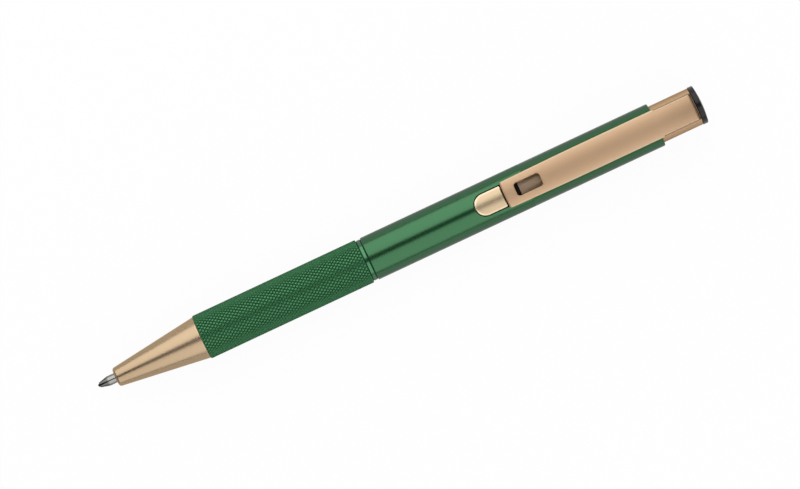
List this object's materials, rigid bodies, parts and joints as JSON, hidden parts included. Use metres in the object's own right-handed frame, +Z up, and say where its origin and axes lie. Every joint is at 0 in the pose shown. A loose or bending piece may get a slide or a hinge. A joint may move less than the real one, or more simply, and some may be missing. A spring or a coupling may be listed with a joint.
{
  "type": "retractable ball pen",
  "caption": "Slim metal ball pen with a knurled grip, a plunger that slides forward with its pocket clip, and a tongue-shaped release button that latches in the barrel.",
  "frame": {"origin": "below the middle of the pen's length, on the surface that the pen lies on", "axes": "+X along the pen from the point to the cap, +Z up through the clip, +Y across the pen"},
  "size_m": [0.14, 0.0098, 0.0111],
  "materials": {
    "satin_gold": "satin",
    "rose_gold": "matte, fine blasted",
    "polished_gold": "polished",
    "knurled_green": "anodised, diamond knurl",
    "satin_green": "anodised, satin",
    "point_steel": "bright turned",
    "spring_steel": "drawn",
    "ball": "polished, wet with ink",
    "refill_brass": "bright turned",
    "black_plastic": "gloss",
    "ink": "wet paste"
  },
  "bodies": {
    "barrel": {"nose_cone": "satin_gold", "grip_sleeve": "knurled_green", "centre_ring": "satin_green", "barrel_coupler": "satin_green", "upper_barrel": "satin_green", "return_spring": "spring_steel"},
    "plunger": {"plunger_body": "rose_gold", "thrust_plug": "black_plastic", "clip": "rose_gold", "clip_rivet_1": "spring_steel", "clip_rivet_2": "spring_steel", "end_cap": "black_plastic"},
    "refill": {"writing_ball": "ball", "point_body": "point_steel", "point_holder": "refill_brass", "refill_tube": "refill_brass", "refill_collar": "refill_brass", "ink_column": "ink", "refill_end_plug": "black_plastic"},
    "button": {"latch_arm": "spring_steel", "release_button": "polished_gold", "button_rivet": "spring_steel"}
  },
  "joints": [
    {"name": "plunger_slide", "type": "slide", "parent": "barrel", "child": "plunger", "axis": [1, 0, 0], "range_m": [0, 0.0052]},
    {"name": "refill_slide", "type": "slide", "parent": "barrel", "child": "refill", "axis": [1, 0, 0], "range_m": [0, 0.0052], "deforming": ["return_spring"]},
    {"name": "button_press", "type": "hinge", "parent": "plunger", "child": "button", "pos_m": [0.04015, 0, 0.00777], "axis": [0, -1, 0], "range_deg": [0, 2.7], "stiffness_Nm_per_rad": 1}
  ],
  "couplings": [
    {"joint": "refill_slide", "follows": "plunger_slide", "ratio": 1}
  ]
}
